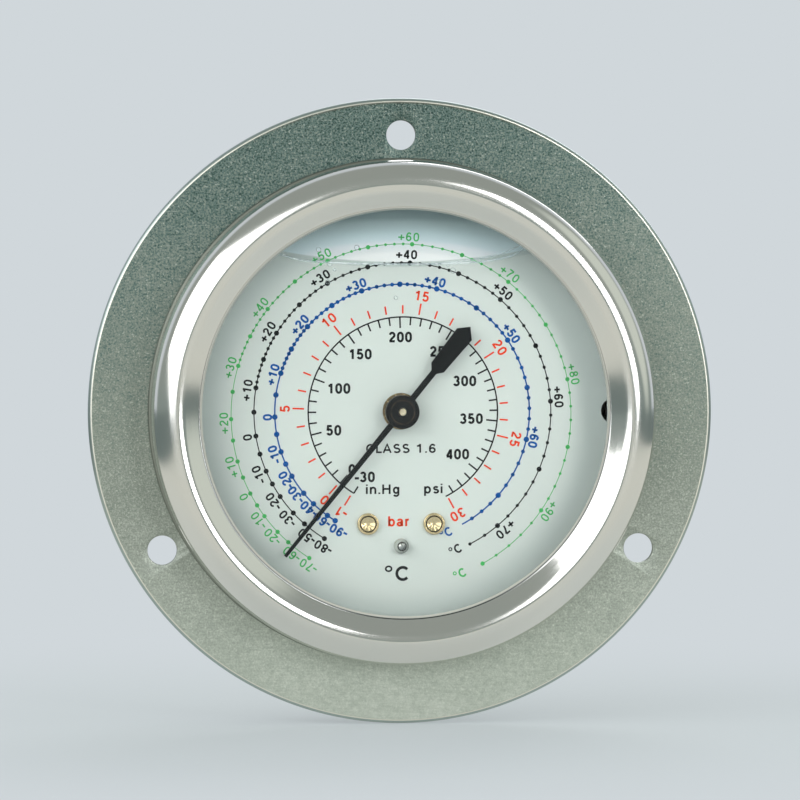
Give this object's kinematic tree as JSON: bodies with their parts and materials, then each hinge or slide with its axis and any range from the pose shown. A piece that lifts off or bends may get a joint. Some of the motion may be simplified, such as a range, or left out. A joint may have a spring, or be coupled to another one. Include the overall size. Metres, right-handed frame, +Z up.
{
  "type": "refrigerant pressure gauge",
  "caption": "Round liquid-filled pressure gauge with a front mounting flange, crimped bezel, back stem, bourdon tube movement and a turning pointer.",
  "frame": {"origin": "centre of the flange's bolt circle on its back face, on the gauge axis", "axes": "+Y from the flange to the stem, the dial faces -Y; +Z up to 12 o'clock; +X to 3 o'clock"},
  "size_m": [0.085, 0.054, 0.085],
  "materials": {
    "flange_steel": "matt grey, finely mottled",
    "bezel_steel": "polished stainless steel",
    "case_steel": "drawn stainless steel",
    "window_glass": "clear flat glass",
    "seal_rubber": "black rubber",
    "dial_white": "pale painted aluminium with plain scales",
    "pointer_black": "black paint",
    "brass": "turned brass",
    "tube_bronze": "drawn bronze tube",
    "spring_bronze": "spring bronze strip",
    "pin_steel": "turned steel"
  },
  "bodies": {
    "gauge_body": {"mounting_flange": "flange_steel", "bezel_ring": "bezel_steel", "window": "window_glass", "window_gasket": "seal_rubber", "case": "case_steel", "filler_plug": "seal_rubber", "dial": "dial_white", "dial_rivets": "brass", "dial_posts": "brass", "stop_pin": "pin_steel", "movement_front_plate": "brass", "movement_back_plate": "brass", "movement_pillars": "brass", "movement_screws": "pin_steel", "mount_screws": "pin_steel", "front_bearing": "brass", "hairspring": "spring_bronze", "hairspring_stud": "brass", "bourdon_tube": "tube_bronze", "socket": "brass", "socket_seal": "seal_rubber", "case_screws": "pin_steel", "throttle_screw": "brass"},
    "pointer_set": {"pointer": "pointer_black", "pointer_hub": "pointer_black", "pinion_arbor": "brass", "hairspring_collet": "brass"},
    "sector_set": {"sector_gear": "brass", "sector_arbor": "pin_steel", "link_tail_pin": "pin_steel"},
    "link_bar": {"link": "brass"},
    "tube_end": {"tube_tip": "brass", "link_tip_pin": "pin_steel"}
  },
  "joints": [
    {"name": "pointer_turn", "type": "hinge", "parent": "gauge_body", "child": "pointer_set", "pos_m": [0, 0, 0], "axis": [0, 1, 0], "range_deg": [-5, 294.5], "stiffness_Nm_per_rad": 0.001, "deforming": ["hairspring"]},
    {"name": "sector_turn", "type": "hinge", "parent": "gauge_body", "child": "sector_set", "pos_m": [0.0072, 0, -0.01247], "axis": [0, 1, 0], "range_deg": [-42.07, 0.72]},
    {"name": "link_turn", "type": "hinge", "parent": "sector_set", "child": "link_bar", "pos_m": [0.01035, 0, -0.01636], "axis": [0, 1, 0], "range_deg": [-0.67, 39.35]},
    {"name": "tube_tip_turn", "type": "hinge", "parent": "gauge_body", "child": "tube_end", "pos_m": [-0.0085, 0, 0.0049], "axis": [0, 1, 0], "range_deg": [-7.65, 0.13], "deforming": ["bourdon_tube"]}
  ],
  "couplings": [
    {"joint": "sector_turn", "follows": "pointer_turn", "ratio": -0.14286},
    {"joint": "link_turn", "follows": "pointer_turn", "ratio": 0.13362},
    {"joint": "tube_tip_turn", "follows": "pointer_turn", "ratio": -0.02598}
  ]
}
